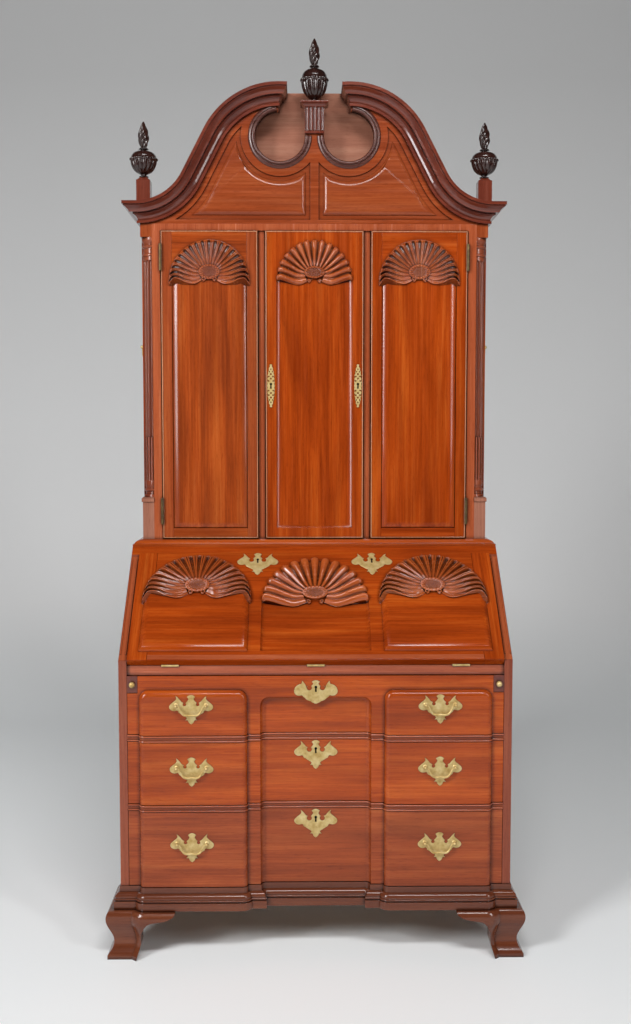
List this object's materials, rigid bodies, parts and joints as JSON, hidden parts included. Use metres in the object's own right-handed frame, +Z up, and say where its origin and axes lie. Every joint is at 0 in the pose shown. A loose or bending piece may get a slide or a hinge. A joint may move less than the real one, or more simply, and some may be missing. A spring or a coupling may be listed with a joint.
{
  "type": "bureau bookcase",
  "caption": "Tall block-front bureau bookcase with shell-carved doors and fall front, drawers, ogee bracket feet, and a closed scroll pediment with flame finials.",
  "frame": {"origin": "on the floor, under the middle of the whole object", "axes": "+Z up, front towards -Y, +X to the right as seen from the front"},
  "size_m": [1.133, 0.6334, 2.548],
  "materials": {
    "mahogany": "polished",
    "dark_mahogany": "polished",
    "secondary_wood": "plain planed",
    "brass": "polished"
  },
  "bodies": {
    "case": {"base_moulding": "mahogany", "bonnet": "secondary_wood", "bookcase_back": "secondary_wood", "bookcase_case": "mahogany", "bookcase_shelves": "mahogany", "case_hinges": "brass", "corner_columns": "mahogany", "cornice": "dark_mahogany", "desk_back": "secondary_wood", "desk_bottom": "secondary_wood", "desk_sides": "mahogany", "desk_top": "mahogany", "drawer_dividers": "mahogany", "drawer_runners": "secondary_wood", "face_frame": "mahogany", "finial_plinths": "dark_mahogany", "finials": "dark_mahogany", "front_feet": "mahogany", "pigeonholes": "mahogany", "rear_feet": "mahogany", "scroll_rings": "dark_mahogany", "side_handle_plates": "brass", "tympanum": "mahogany", "tympanum_panels": "mahogany", "waist_moulding": "mahogany", "writing_board": "mahogany"},
    "lid": {"lid_board": "mahogany", "lid_shells": "mahogany", "lid_brasses": "brass"},
    "left_door": {"left_door": "mahogany", "left_door_shell": "mahogany", "left_door_hinges": "brass"},
    "right_door": {"right_door": "mahogany", "right_door_shell": "mahogany", "right_door_hinges": "brass"},
    "centre_door": {"centre_door": "mahogany", "centre_door_shell": "mahogany", "centre_door_brasses": "brass"},
    "left_loper": {"left_loper": "mahogany", "left_loper_knob": "brass"},
    "right_loper": {"right_loper": "mahogany", "right_loper_knob": "brass"},
    "left_side_bail": {"left_side_bail": "brass"},
    "right_side_bail": {"right_side_bail": "brass"},
    "bottom_drawer": {"bottom_drawer_front": "mahogany", "bottom_drawer_box": "secondary_wood", "bottom_drawer_brasses": "brass"},
    "bottom_drawer_left_bail": {"bottom_drawer_left_bail": "brass"},
    "bottom_drawer_right_bail": {"bottom_drawer_right_bail": "brass"},
    "middle_drawer": {"middle_drawer_front": "mahogany", "middle_drawer_box": "secondary_wood", "middle_drawer_brasses": "brass"},
    "middle_drawer_left_bail": {"middle_drawer_left_bail": "brass"},
    "middle_drawer_right_bail": {"middle_drawer_right_bail": "brass"},
    "top_drawer": {"top_drawer_front": "mahogany", "top_drawer_box": "secondary_wood", "top_drawer_brasses": "brass"},
    "top_drawer_left_bail": {"top_drawer_left_bail": "brass"},
    "top_drawer_right_bail": {"top_drawer_right_bail": "brass"}
  },
  "joints": [
    {"name": "lid_fall", "type": "hinge", "parent": "case", "child": "lid", "pos_m": [0, -0.25427, 0.794], "axis": [-1, 0, 0], "range_deg": [-135.61, 0]},
    {"name": "left_door_swing", "type": "hinge", "parent": "case", "child": "left_door", "pos_m": [-0.4448, 0.04075, 1.555], "axis": [0, 0, -1], "range_deg": [0, 110]},
    {"name": "right_door_swing", "type": "hinge", "parent": "case", "child": "right_door", "pos_m": [0.4448, 0.04075, 1.555], "axis": [0, 0, 1], "range_deg": [0, 110]},
    {"name": "centre_door_swing", "type": "hinge", "parent": "case", "child": "centre_door", "pos_m": [0.13019, 0.05475, 1.555], "axis": [0, 0, 1], "range_deg": [0, 95]},
    {"name": "left_loper_slide", "type": "slide", "parent": "case", "child": "left_loper", "axis": [0, -1, 0], "range_m": [0, 0.29]},
    {"name": "right_loper_slide", "type": "slide", "parent": "case", "child": "right_loper", "axis": [0, -1, 0], "range_m": [0, 0.29]},
    {"name": "bottom_drawer_slide", "type": "slide", "parent": "case", "child": "bottom_drawer", "axis": [0, -1, 0], "range_m": [0, 0.4]},
    {"name": "bottom_drawer_left_bail_swing", "type": "hinge", "parent": "bottom_drawer", "child": "bottom_drawer_left_bail", "pos_m": [-0.33401, -0.29285, 0.31424], "axis": [-1, 0, 0], "range_deg": [0, 90]},
    {"name": "bottom_drawer_right_bail_swing", "type": "hinge", "parent": "bottom_drawer", "child": "bottom_drawer_right_bail", "pos_m": [0.33401, -0.29285, 0.31424], "axis": [-1, 0, 0], "range_deg": [0, 90]},
    {"name": "middle_drawer_slide", "type": "slide", "parent": "case", "child": "middle_drawer", "axis": [0, -1, 0], "range_m": [0, 0.4]},
    {"name": "middle_drawer_left_bail_swing", "type": "hinge", "parent": "middle_drawer", "child": "middle_drawer_left_bail", "pos_m": [-0.33401, -0.29285, 0.52202], "axis": [-1, 0, 0], "range_deg": [0, 90]},
    {"name": "middle_drawer_right_bail_swing", "type": "hinge", "parent": "middle_drawer", "child": "middle_drawer_right_bail", "pos_m": [0.33401, -0.29285, 0.52202], "axis": [-1, 0, 0], "range_deg": [0, 90]},
    {"name": "top_drawer_slide", "type": "slide", "parent": "case", "child": "top_drawer", "axis": [0, -1, 0], "range_m": [0, 0.4]},
    {"name": "top_drawer_left_bail_swing", "type": "hinge", "parent": "top_drawer", "child": "top_drawer_left_bail", "pos_m": [-0.33401, -0.29285, 0.692], "axis": [-1, 0, 0], "range_deg": [0, 90]},
    {"name": "top_drawer_right_bail_swing", "type": "hinge", "parent": "top_drawer", "child": "top_drawer_right_bail", "pos_m": [0.33401, -0.29285, 0.692], "axis": [-1, 0, 0], "range_deg": [0, 90]},
    {"name": "left_side_bail_swing", "type": "hinge", "parent": "case", "child": "left_side_bail", "pos_m": [-0.5156, 0.19975, 1.676], "axis": [0, 1, 0], "range_deg": [0, 90]},
    {"name": "right_side_bail_swing", "type": "hinge", "parent": "case", "child": "right_side_bail", "pos_m": [0.5156, 0.19975, 1.676], "axis": [0, -1, 0], "range_deg": [0, 90]}
  ]
}
